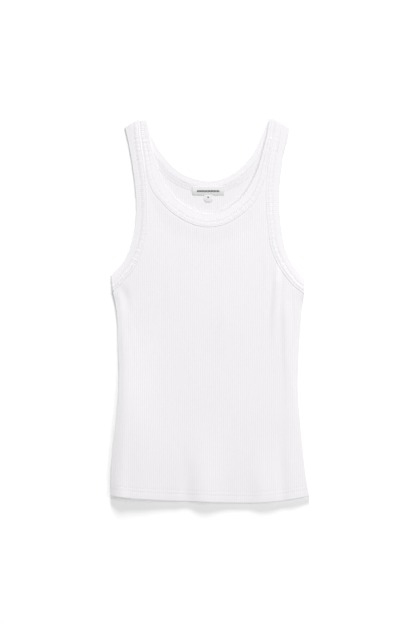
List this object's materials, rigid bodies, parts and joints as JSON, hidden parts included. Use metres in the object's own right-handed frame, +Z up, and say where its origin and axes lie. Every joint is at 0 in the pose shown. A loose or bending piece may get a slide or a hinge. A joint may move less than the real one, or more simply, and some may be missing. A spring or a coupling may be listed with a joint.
{
  "type": "tank top",
  "caption": "Ribbed tank top laid flat on its back, with a scoop neck, wide bound armholes, a turned-up hem and a plain woven label.",
  "frame": {"origin": "on the surface that the garment lies on, under the middle of its outline", "axes": "+Z up from the surface, out of the garment's front; +Y from the hem to the shoulders; +X to the right of someone looking at the front"},
  "size_m": [0.3124, 0.5998, 0.0096],
  "materials": {
    "rib_knit": "matte white cotton rib",
    "rib_band": "matte white cotton rib, folded double",
    "woven_label": "smooth white woven tape"
  },
  "bodies": {
    "root": {"front_panel": "rib_knit", "back_panel": "rib_knit", "neck_band": "rib_band", "armhole_band_left": "rib_band", "armhole_band_right": "rib_band", "main_label": "woven_label", "size_tab": "woven_label"}
  },
  "joints": []
}
